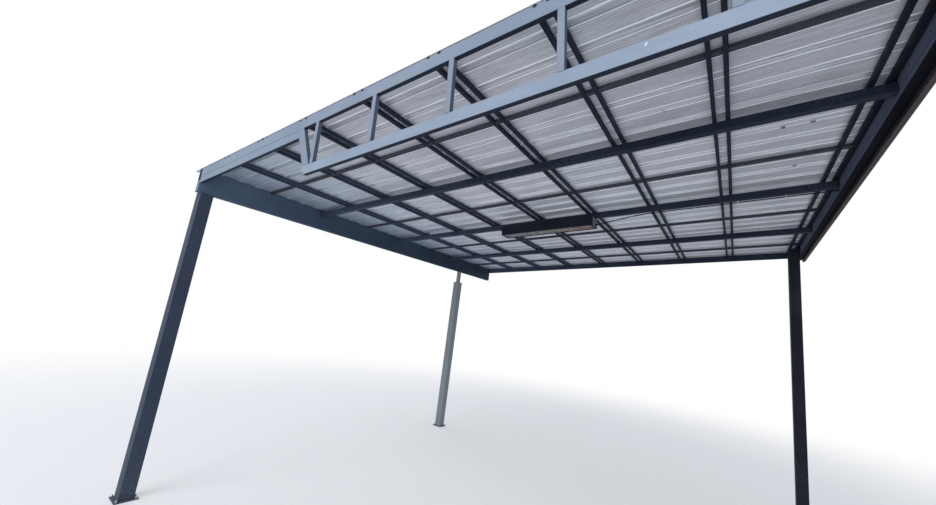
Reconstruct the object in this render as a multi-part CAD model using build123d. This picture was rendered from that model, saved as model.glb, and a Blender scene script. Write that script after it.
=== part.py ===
from build123d import *
import math
import os

# A lean-to carport: a gently sloping roof of ribbed metal sheets on a frame of welded box tubes.
# Sizes are in millimetres and degrees. X runs up the slope from the street side to the wall side,
# Y runs from the front to the rear, and Z is up from the ground.

# Driving dimensions of the whole roof
SLOPE = 4.0
SPAN = 4420
BAY = 1200
BAY_COUNT = 4
HEADROOM = 2475
SEAT = 0.3
WALL = 2.0
CORNER = 2.5

# Box tubes, each given as width by depth
CHORD_WIDTH = 25
CHORD_DEPTH = 75
LOWER_CHORD_DEPTH = 60
PURLIN_WIDTH = 20
PURLIN_DEPTH = 25
RAFTER = 50
EAVE_WIDTH = 50
EAVE_DEPTH = 106
WALL_BEAM_WIDTH = 50
WALL_BEAM_LOWER_DEPTH = 25
POST = 100
POST_WALL = 3.0
POST_NECK = 50

# Front truss
TRUSS_DEPTH = 411
STRUT_TOP = 1566
STRUT_LEAN = 123
STRUT_WIDTH = 60
WEB_FIRST = 1746
WEB_PITCH = 515
WEB_WIDTH = 30

# Purlins and the bridging bars between them
PURLIN_FIRST = 475
PURLIN_PITCH = 547
PAIR_PITCH = 63
WALL_PAIR_INSET = 50
BRIDGE_FIRST = 618
BRIDGE_PITCH = 1240
BRIDGE_WIDTH = 25
BRIDGE_DEPTH = 20

# Posts; the rear ones stand this far in from the rear face of the roof
LEFT_POST_INSET = 859
RIGHT_POST_INSET = 263
NECK_LENGTH = 185
BASE_PLATE = 150
BASE_PLATE_THICKNESS = 6
BASE_BOLT_PITCH = 120
BASE_BOLT_HOLE = 11

# Roof sheets
SHEET = 1.2
RIB_PITCH = 160
RIBS_PER_SHEET = 5
RIB_BASE = 44
RIB_CROWN = 20
RIB_HEIGHT = 24
LAP_LIP = 12
SIDE_OVERHANG = 4
EAVE_OVERHANG = 110
SHEET_PAST_WALL_BEAM = 75

# Wall side trim
PACKING_WIDTH = 34
PACKING_DEPTH = 124
FLASHING_LEG = 90
FLASHING_COVER = 150

# Lamp under the middle rafter
LAMP_START = 1697
LAMP_LENGTH = 1002
LAMP_WIDTH = 150
LAMP_DEPTH = 88
LAMP_LEAN = 4
LAMP_WALL = 2.0
LAMP_CAP = 26
DIFFUSER_SINK = 4
DIFFUSER_RIB_PITCH = 10
DIFFUSER_RIB = 2
CABLE_DIAMETER = 9
CABLE_SAG = 4

# Points of the lamp's cable: up the slope from the lamp, across from the middle of the rafter,
# and down from its underside
CABLE_ROUTE = ((0.9, 10, -68), (60, 14, -61), (140, 20, -44))
CABLE_MEETS_RAFTER = 400

# Share of the shorter of two runs of the cable that the bend between them takes up
BEND_SHARE = 0.45

# Saddles that hold the cable
CLIP_WIDTH = 12
CLIP_METAL = 1.5
CLIP_TAB = 14
CLIP_COUNT = 4

# Places worked out from the driving dimensions
ROOF_DEPTH = BAY * BAY_COUNT + CHORD_WIDTH
EAVE_TOP = HEADROOM + 2 * EAVE_DEPTH
TAN_SLOPE = math.tan(math.radians(SLOPE))
COS_SLOPE = math.cos(math.radians(SLOPE))
SHEET_SEAT_HEIGHT = EAVE_TOP + SEAT + EAVE_WIDTH * TAN_SLOPE
ROOF = Location((0, 0, SHEET_SEAT_HEIGHT), (0, -SLOPE, 0))
SHEET_START = -EAVE_WIDTH - EAVE_OVERHANG
SHEET_END = SPAN + SHEET_PAST_WALL_BEAM
SHEET_COVER = RIB_PITCH * RIBS_PER_SHEET
SHEET_COUNT = math.ceil((ROOF_DEPTH - RIB_PITCH) / SHEET_COVER)
PURLIN_PAIRS = round((SPAN - WALL_PAIR_INSET - PURLIN_FIRST) / PURLIN_PITCH)
BRIDGE_ROWS = int((BAY * BAY_COUNT - BRIDGE_FIRST) // BRIDGE_PITCH) + 1
FRONT_POST_Y = CHORD_WIDTH + SEAT
LEFT_POST_X = -(EAVE_WIDTH + POST) / 2
RIGHT_POST_X = (SPAN - SEAT) * COS_SLOPE - POST
LEFT_POST_REAR = ROOF_DEPTH - LEFT_POST_INSET - POST
RIGHT_POST_REAR = ROOF_DEPTH - RIGHT_POST_INSET - POST
POST_FOOT = BASE_PLATE_THICKNESS + SEAT
CHORD_GAP_TOP = 2 * SEAT + CHORD_DEPTH
CHORD_GAP_FOOT = TRUSS_DEPTH - LOWER_CHORD_DEPTH - SEAT
STRUT_SLANT = STRUT_LEAN / (CHORD_GAP_FOOT - CHORD_GAP_TOP)
STRUT_HALF = STRUT_WIDTH / 2 * math.hypot(1, STRUT_SLANT)
RAFTER_UNDERSIDE = 2 * SEAT + PURLIN_DEPTH + RAFTER
WALL_LINE = SPAN + WALL_BEAM_WIDTH + SEAT + PACKING_WIDTH


def tube_along_x(width, depth, length, wall=WALL):
    """A box tube on the X axis from the origin: width lies in Y, depth in Z."""
    profile = RectangleRounded(width, depth, CORNER) - Rectangle(width - 2 * wall, depth - 2 * wall)
    return extrude(Plane.YZ * profile, length)


def tube_along_y(width, depth, length, wall=WALL):
    """A box tube on the Y axis from the origin: width lies in X, depth in Z."""
    return Rot(0, 0, 90) * tube_along_x(width, depth, length, wall)


def tube_along_z(width_x, width_y, length, wall=WALL):
    """An upright box tube on the Z axis from the origin."""
    return Rot(0, -90, 0) * tube_along_x(width_y, width_x, length, wall)


def rafter_line(number):
    """The Y place of the middle of rafter line 0, the front truss, to the last, the rear beam."""
    return CHORD_WIDTH / 2 + BAY * number


def chord(start, end, top, depth, y=CHORD_WIDTH / 2):
    """A straight tube up the slope, with its upper face top below the sheets."""
    solid = tube_along_x(CHORD_WIDTH, depth, end - start)
    return ROOF * Pos(start, y, -top - depth / 2) * solid


def top_chord():
    return chord(SEAT, SPAN - SEAT, SEAT, CHORD_DEPTH)


def past_slant(edge, side):
    """A block on one side of a line that leans like the end strut and meets the chord at edge."""
    drop = 2 * TRUSS_DEPTH
    start = edge - STRUT_SLANT * CHORD_GAP_TOP
    end = start + STRUT_SLANT * drop
    face = Polygon(
        (start, 0),
        (end, -drop),
        (end + SPAN * side, -drop),
        (start + SPAN * side, 0),
        align=None,
    )
    return extrude(Plane.XZ * face, TRUSS_DEPTH, both=True)


def stub_chord():
    """The short second tube under the top chord, cut along the leaning end strut."""
    blank = tube_along_x(CHORD_WIDTH, LOWER_CHORD_DEPTH, STRUT_TOP + LOWER_CHORD_DEPTH)
    blank = Pos(SEAT, CHORD_WIDTH / 2, -CHORD_GAP_TOP - LOWER_CHORD_DEPTH / 2) * blank
    return ROOF * (blank - past_slant(STRUT_TOP - STRUT_HALF - SEAT, 1))


def slanted_bar(half, width_y):
    """A bar along the end strut, between level cuts at both chords; half is half its width."""
    face = Polygon(
        (STRUT_TOP - half, -CHORD_GAP_TOP),
        (STRUT_TOP + half, -CHORD_GAP_TOP),
        (STRUT_TOP + STRUT_LEAN + half, -CHORD_GAP_FOOT),
        (STRUT_TOP + STRUT_LEAN - half, -CHORD_GAP_FOOT),
        align=None,
    )
    return extrude(Plane.XZ * face, width_y / 2, both=True)


def end_strut():
    """The leaning tube that closes the truss, cut level with both chords."""
    outside = slanted_bar(STRUT_HALF, CHORD_WIDTH)
    inside = slanted_bar(STRUT_HALF - WALL * math.hypot(1, STRUT_SLANT), CHORD_WIDTH - 2 * WALL)
    return ROOF * Pos(0, CHORD_WIDTH / 2, 0) * (outside - inside)


def bottom_chord():
    """The lower tube of the truss, cut in line with the strut and level with the wall side post."""
    start = STRUT_TOP
    end = SPAN - SEAT - TRUSS_DEPTH * TAN_SLOPE
    blank = tube_along_x(CHORD_WIDTH, LOWER_CHORD_DEPTH, end - start)
    blank = Pos(start, CHORD_WIDTH / 2, -TRUSS_DEPTH + LOWER_CHORD_DEPTH / 2) * blank
    return ROOF * (blank - past_slant(STRUT_TOP - STRUT_HALF, -1))


def truss_posts():
    """The short tubes that stand between the two chords, square to them."""
    length = CHORD_GAP_FOOT - CHORD_GAP_TOP
    count = int((SPAN - WEB_WIDTH - WEB_FIRST) // WEB_PITCH) + 1
    web = tube_along_z(WEB_WIDTH, CHORD_WIDTH, length)
    return [
        ROOF * Pos(WEB_FIRST + WEB_PITCH * i, CHORD_WIDTH / 2, -CHORD_GAP_FOOT) * web
        for i in range(count)
    ]


def rafter(number):
    """A tube up the slope under the purlins, between the eave beam and the wall beam."""
    solid = tube_along_x(RAFTER, RAFTER, SPAN - 2 * SEAT)
    return ROOF * Pos(SEAT, rafter_line(number), -2 * SEAT - PURLIN_DEPTH - RAFTER / 2) * solid


def rear_beam():
    return chord(SEAT, SPAN - SEAT, SEAT, CHORD_DEPTH, rafter_line(BAY_COUNT))


def pair_middles():
    """The place up the slope of the middle of each pair of purlins."""
    middles = [PURLIN_FIRST + PURLIN_PITCH * i for i in range(PURLIN_PAIRS)]
    return middles + [SPAN - WALL_PAIR_INSET]


def purlin_pair(middle):
    """Two tubes side by side from the front chord to the rear beam, which carry the sheets."""
    length = BAY * BAY_COUNT - CHORD_WIDTH - 2 * SEAT
    purlin = tube_along_y(PURLIN_WIDTH, PURLIN_DEPTH, length)
    places = (middle - PAIR_PITCH / 2, middle + PAIR_PITCH / 2)
    return [ROOF * Pos(s, CHORD_WIDTH + SEAT, -SEAT - PURLIN_DEPTH / 2) * purlin for s in places]


def bridging_row(row):
    """The short bars of one row, fitted between the purlins just under the sheets."""
    y = BRIDGE_FIRST + BRIDGE_PITCH * row
    edges = [SEAT]
    for middle in pair_middles():
        for s in (middle - PAIR_PITCH / 2, middle + PAIR_PITCH / 2):
            edges += [s - PURLIN_WIDTH / 2 - SEAT, s + PURLIN_WIDTH / 2 + SEAT]
    bars = []
    for start, end in zip(edges[0::2], edges[1::2]):
        bar = Box(end - start, BRIDGE_WIDTH, BRIDGE_DEPTH, align=(Align.MIN, Align.CENTER, Align.MAX))
        bars.append(ROOF * Pos(start, y, -SEAT) * bar)
    return bars


def eave_beam(course):
    """One of the two level tubes, one on the other, along the street side."""
    solid = tube_along_y(EAVE_WIDTH, EAVE_DEPTH - SEAT, ROOF_DEPTH)
    return Pos(-EAVE_WIDTH / 2, 0, HEADROOM + EAVE_DEPTH * (course + 0.5)) * solid


def eave_end_plate():
    """The plate let into the lower tube's front mouth."""
    width = EAVE_WIDTH - 2 * WALL - 2 * SEAT
    depth = EAVE_DEPTH - 2 * WALL - 3 * SEAT
    plate = Box(width, WALL, depth, align=(Align.CENTER, Align.MIN, Align.CENTER))
    return Pos(-EAVE_WIDTH / 2, 0, HEADROOM + EAVE_DEPTH / 2) * plate


def wall_beam(top, depth):
    """A tube along the wall side, square to the roof, into which the rafters run."""
    solid = tube_along_y(WALL_BEAM_WIDTH, depth, ROOF_DEPTH)
    return ROOF * Pos(SPAN + WALL_BEAM_WIDTH / 2, 0, -top - depth / 2) * solid


def packing_strip():
    """The strip between the wall beam and the wall; its wall face is plumb."""
    face = Polygon(
        (SPAN + WALL_BEAM_WIDTH + SEAT, -SEAT),
        (SPAN + WALL_BEAM_WIDTH + SEAT, -PACKING_DEPTH),
        (WALL_LINE - PACKING_DEPTH * TAN_SLOPE, -PACKING_DEPTH),
        (WALL_LINE - SEAT * TAN_SLOPE, -SEAT),
        align=None,
    )
    return ROOF * extrude(Plane.XZ * face, -ROOF_DEPTH)


def post(x, y, foot, top, width, wall):
    """An upright tube between two heights, with its left front corner at x, y."""
    solid = tube_along_z(width, width, top - foot, wall)
    return Pos(x + width / 2, y + width / 2, foot) * solid


def front_left_post():
    return post(LEFT_POST_X, FRONT_POST_Y, POST_FOOT, HEADROOM - SEAT, POST, POST_WALL)


def rear_left_post():
    top = HEADROOM - NECK_LENGTH
    return post(LEFT_POST_X, LEFT_POST_REAR, POST_FOOT, top, POST, POST_WALL)


def rear_left_neck():
    """The thinner stub on the rear left post, on a plate that closes the post's top."""
    inset = (POST - POST_NECK) / 2
    foot = HEADROOM - NECK_LENGTH + SEAT
    stub = post(LEFT_POST_X + inset, LEFT_POST_REAR + inset, foot, HEADROOM - SEAT, POST_NECK, WALL)
    plate = Box(POST, POST, 2 * WALL, align=(Align.MIN, Align.MIN, Align.MIN))
    return stub + Pos(LEFT_POST_X, LEFT_POST_REAR, foot) * plate


def right_post(y):
    """A post on the wall side, cut on the slope under the last pair of purlins."""
    solid = post(RIGHT_POST_X, y, POST_FOOT, SHEET_SEAT_HEIGHT + SPAN, POST, POST_WALL)
    keep_under = Box(4 * SPAN, 4 * BAY, 4 * SPAN, align=(Align.CENTER, Align.CENTER, Align.MAX))
    keep_under = ROOF * Pos(0, y, -2 * SEAT - PURLIN_DEPTH) * keep_under
    return solid & keep_under


def base_plate(x, y):
    """A square plate under the post whose left front corner is at x, y, with four bolt holes."""
    outline = Rectangle(BASE_PLATE, BASE_PLATE)
    outline -= GridLocations(BASE_BOLT_PITCH, BASE_BOLT_PITCH, 2, 2) * Circle(BASE_BOLT_HOLE / 2)
    return Pos(x + POST / 2, y + POST / 2, 0) * extrude(outline, BASE_PLATE_THICKNESS)


def base_plates():
    left = [base_plate(LEFT_POST_X, y) for y in (FRONT_POST_Y, LEFT_POST_REAR)]
    return left + [base_plate(RIGHT_POST_X, y) for y in (FRONT_POST_Y, RIGHT_POST_REAR)]


def rib(middle):
    """The four corners of a rib's lower line, at its place across the sheet."""
    return [
        (middle - RIB_BASE / 2, 0),
        (middle - RIB_CROWN / 2, RIB_HEIGHT),
        (middle + RIB_CROWN / 2, RIB_HEIGHT),
        (middle + RIB_BASE / 2, 0),
    ]


def lap_rib():
    """The rib that lies over the last rib of the sheet before, with a lip on that sheet."""
    nest = SHEET + SEAT
    run = (RIB_BASE - RIB_CROWN) / 2
    shift = nest * math.hypot(run, RIB_HEIGHT) / RIB_HEIGHT
    return [
        (-RIB_BASE / 2 - shift - LAP_LIP, nest),
        (-RIB_BASE / 2 - shift, nest),
        (-RIB_CROWN / 2 - shift, RIB_HEIGHT + nest),
        (RIB_CROWN / 2, RIB_HEIGHT + nest),
        (RIB_BASE / 2, 0),
    ]


def sheet_line(number):
    """The lower line of one roof sheet across its ribs; the outer two end in a flat edge."""
    line = lap_rib() if number > 0 else [(-SIDE_OVERHANG, 0)]
    for i in range(1, RIBS_PER_SHEET):
        line += rib(RIB_PITCH * i)
    if number < SHEET_COUNT - 1:
        return line + rib(SHEET_COVER)[:2] + [(SHEET_COVER, RIB_HEIGHT)]
    return line + [(ROOF_DEPTH + SIDE_OVERHANG - number * SHEET_COVER, 0)]


def folded_sheet(points):
    """The outline of thin metal whose lower line is given."""
    return make_face(
        offset(Polyline(*points), amount=SHEET, side=Side.LEFT, kind=Kind.INTERSECTION, closed=True)
    )


def roof_sheet(number):
    """One ribbed sheet; its front rib laps over the last rib of the sheet before it."""
    across = Plane((SHEET_START, 0, 0), x_dir=(0, 1, 0), z_dir=(1, 0, 0))
    solid = extrude(across * folded_sheet(sheet_line(number)), SHEET_END - SHEET_START)
    return ROOF * Pos(0, number * SHEET_COVER, SEAT) * solid


def wall_flashing():
    """The folded strip that closes the top of the sheets; its upright leg is plumb."""
    under = RIB_HEIGHT + 2 * SHEET + 3 * SEAT
    line = [
        (SHEET_END - FLASHING_COVER, under),
        (WALL_LINE + under * TAN_SLOPE, under),
        (WALL_LINE + (under + FLASHING_LEG) * TAN_SLOPE, under + FLASHING_LEG),
    ]
    solid = extrude(Plane.XZ * folded_sheet(line), -ROOF_DEPTH)
    return ROOF * solid


def lamp_place():
    """The lamp's left front upper corner, on the underside of the middle rafter."""
    y = rafter_line(2) - LAMP_WIDTH / 2
    return ROOF * Pos(LAMP_START, y, -RAFTER_UNDERSIDE - SEAT)


def lamp_outline():
    """The lamp's cross section, with sides that lean in a little towards the top."""
    return Polygon(
        (0, -LAMP_DEPTH),
        (LAMP_WIDTH, -LAMP_DEPTH),
        (LAMP_WIDTH - LAMP_LEAN, 0),
        (LAMP_LEAN, 0),
        align=None,
    )


def lamp_housing():
    """The lamp's trough, open below."""
    hollow = Pos(0, -LAMP_WALL) * offset(lamp_outline(), amount=-LAMP_WALL)
    hollow += Pos(0, -LAMP_DEPTH) * Rectangle(
        LAMP_WIDTH - 2 * LAMP_WALL, 2 * LAMP_WALL, align=(Align.MIN, Align.MIN)
    ).moved(Pos(LAMP_WALL, 0))
    length = LAMP_LENGTH - 2 * LAMP_CAP
    trough = extrude(Plane.YZ * (lamp_outline() - hollow), length)
    return lamp_place() * Pos(LAMP_CAP, 0, 0) * trough


def lamp_end_cap(side):
    """A solid end piece of the lamp with the same outline as its trough."""
    start = (LAMP_LENGTH - LAMP_CAP + SEAT) * side
    return lamp_place() * Pos(start, 0, 0) * extrude(Plane.YZ * lamp_outline(), LAMP_CAP - SEAT)


def lamp_diffuser():
    """The long cover under the tubes, ribbed along its length on the side that shows."""
    inside = LAMP_WIDTH - 2 * LAMP_WALL - 2 * SEAT - 2 * DIFFUSER_SINK
    body = Rectangle(inside, 4 * DIFFUSER_RIB, align=(Align.CENTER, Align.MIN))
    rib_count = int(inside // DIFFUSER_RIB_PITCH)
    span = DIFFUSER_RIB_PITCH * (rib_count - 1)
    for i in range(rib_count):
        groove = RegularPolygon(DIFFUSER_RIB, 4)
        body -= Pos(i * DIFFUSER_RIB_PITCH - span / 2, 0) * groove
    length = LAMP_LENGTH - 2 * LAMP_CAP - 2 * SEAT
    solid = extrude(Plane.YZ * body, length)
    place = Pos(LAMP_CAP + SEAT, LAMP_WIDTH / 2, -LAMP_DEPTH + DIFFUSER_SINK)
    return lamp_place() * place * solid


def cable_points():
    """The lamp cable's route on the roof's slope: out of the end cap, then under the rafter."""
    lamp_end = LAMP_START + LAMP_LENGTH
    middle = rafter_line(2)
    line_y = middle + RAFTER / 2
    line_n = -RAFTER_UNDERSIDE - CABLE_DIAMETER / 2 - CABLE_SAG
    route = [(lamp_end + s, middle + y, -RAFTER_UNDERSIDE + n) for s, y, n in CABLE_ROUTE]
    return route + [(lamp_end + CABLE_MEETS_RAFTER, line_y, line_n), (SPAN - SEAT, line_y, line_n)]


def cable_radii(points):
    """The largest arc at each bend that its two runs leave room for."""
    radii = []
    for before, here, after in zip(points, points[1:], points[2:]):
        first = Vector(*here) - Vector(*before)
        second = Vector(*after) - Vector(*here)
        half_turn = math.radians(first.get_angle(second)) / 2
        radii.append(BEND_SHARE * min(first.length, second.length) / math.tan(half_turn))
    return radii


def lamp_cable():
    points = cable_points()
    radii = cable_radii(points)
    print("cable radii", [round(radius) for radius in radii])
    path = FilletPolyline(*points, radius=radii)
    section = Plane(path @ 0, z_dir=path % 0) * Circle(CABLE_DIAMETER / 2)
    return ROOF * sweep(section, path=path)


def cable_clips():
    """Saddles on the cable's last run, evenly spaced from just past its bend to the wall beam."""
    before, start, end = cable_points()[-3:]
    bend = BEND_SHARE * min(math.dist(before, start), math.dist(start, end))
    first = start[0] + bend + CLIP_WIDTH
    inner = CABLE_DIAMETER / 2 + SEAT
    outer = inner + CLIP_METAL
    rise = CABLE_DIAMETER / 2 + CABLE_SAG - SEAT
    loop = Circle(outer) + Pos(0, rise / 2) * Rectangle(2 * outer, rise)
    loop -= Circle(inner) + Pos(0, rise / 2) * Rectangle(2 * inner, rise)
    tab = Rectangle(CLIP_TAB, CLIP_METAL, align=(Align.MAX, Align.MAX))
    saddle = extrude(Plane.YZ * (loop + Pos(-inner, rise) * tab), CLIP_WIDTH)
    step = (end[0] - first) / CLIP_COUNT
    return [ROOF * Pos(first + step * i, start[1], start[2]) * saddle for i in range(CLIP_COUNT)]


def write_nodes():
    nodes = {
        "front_top_chord": [top_chord()],
        "front_stub_chord": [stub_chord()],
        "front_bottom_chord": [bottom_chord()],
        "front_end_strut": [end_strut()],
        "front_truss_posts": truss_posts(),
        "rear_beam": [rear_beam()],
        "eave_beam_lower": [eave_beam(0)],
        "eave_beam_upper": [eave_beam(1)],
        "eave_end_plate": [eave_end_plate()],
        "wall_beam_upper": [wall_beam(SEAT, CHORD_DEPTH)],
        "wall_beam_lower": [wall_beam(2 * SEAT + CHORD_DEPTH, WALL_BEAM_LOWER_DEPTH)],
        "wall_packing_strip": [packing_strip()],
        "wall_flashing": [wall_flashing()],
        "front_left_post": [front_left_post()],
        "rear_left_post": [rear_left_post()],
        "rear_left_post_neck": [rear_left_neck()],
        "front_right_post": [right_post(FRONT_POST_Y)],
        "rear_right_post": [right_post(RIGHT_POST_REAR)],
        "post_base_plates": base_plates(),
        "lamp_housing": [lamp_housing()],
        "lamp_end_caps": [lamp_end_cap(0), lamp_end_cap(1)],
        "lamp_diffuser": [lamp_diffuser()],
        "lamp_cable": [lamp_cable()],
        "lamp_cable_clips": cable_clips(),
    }
    for number in range(1, BAY_COUNT):
        nodes[f"rafter_{number}"] = [rafter(number)]
    for number, middle in enumerate(pair_middles(), start=1):
        nodes[f"purlin_pair_{number}"] = purlin_pair(middle)
    for row in range(BRIDGE_ROWS):
        nodes[f"bridging_row_{row + 1}"] = bridging_row(row)
    for number in range(SHEET_COUNT):
        nodes[f"roof_sheet_{number + 1}"] = [roof_sheet(number)]
    boxes = [solid.bounding_box() for solids in nodes.values() for solid in solids]
    middle_x = (min(box.min.X for box in boxes) + max(box.max.X for box in boxes)) / 2
    middle_y = (min(box.min.Y for box in boxes) + max(box.max.Y for box in boxes)) / 2
    origin_under_middle = Pos(-middle_x, -middle_y, 0)
    print("origin at", round(middle_x, 3), round(middle_y, 3))
    os.makedirs("parts", exist_ok=True)
    for name, solids in nodes.items():
        placed = [origin_under_middle * solid for solid in solids]
        shape = placed[0] if len(placed) == 1 else Compound(children=placed)
        export_step(shape, f"parts/{name}.step")
    print(len(nodes), "nodes")


write_nodes()
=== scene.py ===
# %% [markdown]
# # A lean-to carport of box tubes and ribbed sheets
#
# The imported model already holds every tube, sheet and post at its real size. This notebook gives
# it its looks: the view, a soft daylight, paints and metals with their wear, and the small things
# that a builder adds on site, such as welds, roofing screws and anchor bolts.

import math

import bpy
import numpy as np
from mathutils import Matrix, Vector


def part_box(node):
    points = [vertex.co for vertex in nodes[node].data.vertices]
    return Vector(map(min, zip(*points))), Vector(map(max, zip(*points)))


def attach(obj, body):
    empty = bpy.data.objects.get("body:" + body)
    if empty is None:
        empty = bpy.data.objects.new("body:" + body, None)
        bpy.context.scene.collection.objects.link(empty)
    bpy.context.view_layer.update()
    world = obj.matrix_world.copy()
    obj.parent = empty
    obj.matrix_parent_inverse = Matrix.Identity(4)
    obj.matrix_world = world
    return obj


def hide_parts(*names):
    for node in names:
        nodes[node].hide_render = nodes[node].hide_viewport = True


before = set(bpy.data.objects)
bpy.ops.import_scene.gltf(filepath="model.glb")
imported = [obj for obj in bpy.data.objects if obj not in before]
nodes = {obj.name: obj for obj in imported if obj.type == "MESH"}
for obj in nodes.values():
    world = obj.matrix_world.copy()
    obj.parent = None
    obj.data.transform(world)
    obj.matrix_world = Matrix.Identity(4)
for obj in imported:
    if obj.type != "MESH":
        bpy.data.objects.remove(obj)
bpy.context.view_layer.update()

# %% [markdown]
# Nearly everything here lies on a roof that rises 4 degrees, so places are written as three plain
# numbers on that slope: how far up it from the eave beam's inner face, how far from the front to
# the rear, and how far above the sheets' underside. One turn and one shift make them real places.

# %% Places on the slope
SLOPE = math.radians(4.0)
ROOF_ORIGIN = np.array([-2.165917, -2.4125, 2.690797])
UP_SLOPE = np.array([math.cos(SLOPE), 0, math.sin(SLOPE)])
TO_REAR = np.array([0.0, 1.0, 0.0])
OFF_SLOPE = np.array([-math.sin(SLOPE), 0, math.cos(SLOPE)])
ROOF_AXES = np.stack([UP_SLOPE, TO_REAR, OFF_SLOPE])


def on_roof(places):
    """The origin of the slope plus each of the three numbers times its own direction."""
    return ROOF_ORIGIN + np.asarray(places, float) @ ROOF_AXES


print("the slope's origin is at", on_roof((0, 0, 0)))

# %% [markdown]
# The view stands just in front of the roof, under its high end, and looks up and across to the
# far low corner. A very wide lens is needed to take in so much from so near, and it is what makes
# the near chords look long and the far post look small. The eye and the three directions of the
# picture are given as plain numbers, so the view can be set without aiming at anything.

# %% Set the camera
PICTURE_WIDTH = 936
FOCAL_PIXELS = 370.897
SENSOR = 36.0
EYE = (1.644083, -3.5, 1.66)
TO_RIGHT = (0.81101149, 0.57143069, 0.12540869)
TO_FOOT = (-0.00518259, 0.2213718, -0.97517571)
AHEAD = (-0.58500727, 0.79022876, 0.18249656)
scene = bpy.context.scene


def new_object(name, data):
    """An object with the given data, linked into the scene."""
    made = bpy.data.objects.new(name, data)
    scene.collection.objects.link(made)
    return made


def placed(axes, place):
    """A matrix whose columns are the three axes and then the place."""
    matrix = np.eye(4)
    matrix[:3, :3] = np.transpose(axes)
    matrix[:3, 3] = place
    return Matrix(matrix.tolist())


lens = bpy.data.cameras.new("view")
lens.sensor_fit = "HORIZONTAL"
lens.sensor_width = SENSOR
lens.lens = FOCAL_PIXELS / PICTURE_WIDTH * SENSOR
lens.clip_start = 0.05
camera = new_object("view", lens)
camera.matrix_world = placed([TO_RIGHT, np.negative(TO_FOOT), np.negative(AHEAD)], EYE)
scene.camera = camera
print("lens", round(lens.lens, 3), "mm")

# %% [markdown]
# The lamp's cable is one fixed length of stiff round cable. It comes out of the lamp's upper end,
# climbs to the rear lower edge of the middle rafter and follows it through four saddles into the
# wall beam. A smooth spline is right for it, because a real cable never turns a sharp corner: the
# points below are only pulled towards, and the long straight run has one point more where it
# starts, so that the curve is already straight in the first saddle. Each point carries the
# cable's radius, so the curve's own box is true as well.

# %% Run the lamp's cable
CABLE_DIAMETER = 0.009
CABLE_POINTS = on_roof([
    (2.6999, 2.4225, -0.1436),
    (2.7590, 2.4265, -0.1366),
    (2.8390, 2.4325, -0.1196),
    (3.0990, 2.4375, -0.0841),
    (3.3590, 2.4375, -0.0841),
    (4.4197, 2.4375, -0.0841),
])

cable_curve = bpy.data.curves.new("lamp_lead", "CURVE")
cable_curve.dimensions = "3D"
cable_curve.bevel_depth = 1.0
cable_curve.bevel_resolution = 3
cable_curve.resolution_u = 12
cable_curve.use_fill_caps = True
line = cable_curve.splines.new("NURBS")
line.points.add(len(CABLE_POINTS) - 1)
line.points.foreach_set("co", np.column_stack([CABLE_POINTS, np.ones(len(CABLE_POINTS))]).ravel())
line.points.foreach_set("radius", np.full(len(CABLE_POINTS), CABLE_DIAMETER / 2))
line.order_u = 3
line.use_endpoint_u = True
cable = new_object("lamp_lead", cable_curve)
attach(cable, "root")
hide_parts("lamp_cable")

# %% [markdown]
# The sky, the floor and every finish are made of shader nodes. A small class keeps their making
# short: it adds a node, sets its plain values and joins the sockets it is given.

# %% A short way to wire nodes


class Wiring:
    """Adds nodes to one node tree; a value given as a socket is linked, any other is set."""

    def __init__(self, tree):
        self.tree = tree

    def add(self, kind, **settings):
        node = self.tree.nodes.new(kind)
        for name, value in settings.items():
            setattr(node, name, value)
        return node

    def join(self, value, socket):
        if isinstance(value, bpy.types.NodeSocket):
            self.tree.links.new(value, socket)
        elif socket.type == "RGBA":
            socket.default_value = (*value[:3], 1)
        else:
            socket.default_value = value

    def feed(self, node, **values):
        for name, value in values.items():
            self.join(value, node.inputs[name.replace("_", " ")])

    def maths(self, operation, first, second=0.0, clamp=False):
        node = self.add("ShaderNodeMath", operation=operation, use_clamp=clamp)
        self.join(first, node.inputs[0])
        self.join(second, node.inputs[1])
        return node.outputs[0]

    def times(self, first, second):
        return self.maths("MULTIPLY", first, second)

    def plus(self, first, second, clamp=False):
        return self.maths("ADD", first, second, clamp)

    def noise(self, where, scale, detail=3.0, roughness=0.5):
        node = self.add("ShaderNodeTexNoise")
        self.feed(node, Vector=where, Scale=scale, Detail=detail, Roughness=roughness)
        return node.outputs["Fac"]

    def between(self, value, low, high):
        """Zero at low, one at high, a straight change between the two and no change beyond."""
        node = self.add("ShaderNodeMapRange")
        self.feed(node, Value=value, From_Min=low, From_Max=high)
        return node.outputs["Result"]

    def crest(self, value, middle, half):
        """One at the middle, falling to zero at half on both sides of it."""
        off = self.maths("ABSOLUTE", self.plus(value, -middle))
        return self.between(off, half, 0.0)

    def blend(self, share, first, second):
        node = self.add("ShaderNodeMix", data_type="RGBA")
        for index, value in ((0, share), (6, first), (7, second)):
            self.join(value, node.inputs[index])
        return node.outputs[2]

    def either(self, share, first, second):
        """The first shader where the share is zero and the second one where it is one."""
        node = self.add("ShaderNodeMixShader")
        for index, value in enumerate((share, first, second)):
            self.join(value, node.inputs[index])
        return node.outputs[0]

    def dimmed(self, colour, amount):
        node = self.add("ShaderNodeVectorMath", operation="SCALE")
        self.join(colour, node.inputs[0])
        self.join(amount, node.inputs["Scale"])
        return node.outputs[0]

    def scaled(self, where, scale):
        node = self.add("ShaderNodeMapping")
        self.feed(node, Vector=where, Scale=scale)
        return node.outputs["Vector"]

    def parts(self, vector):
        """The x, y and z of a vector as three sockets."""
        node = self.add("ShaderNodeSeparateXYZ")
        self.join(vector, node.inputs[0])
        return node.outputs


print("wiring is ready")

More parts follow.
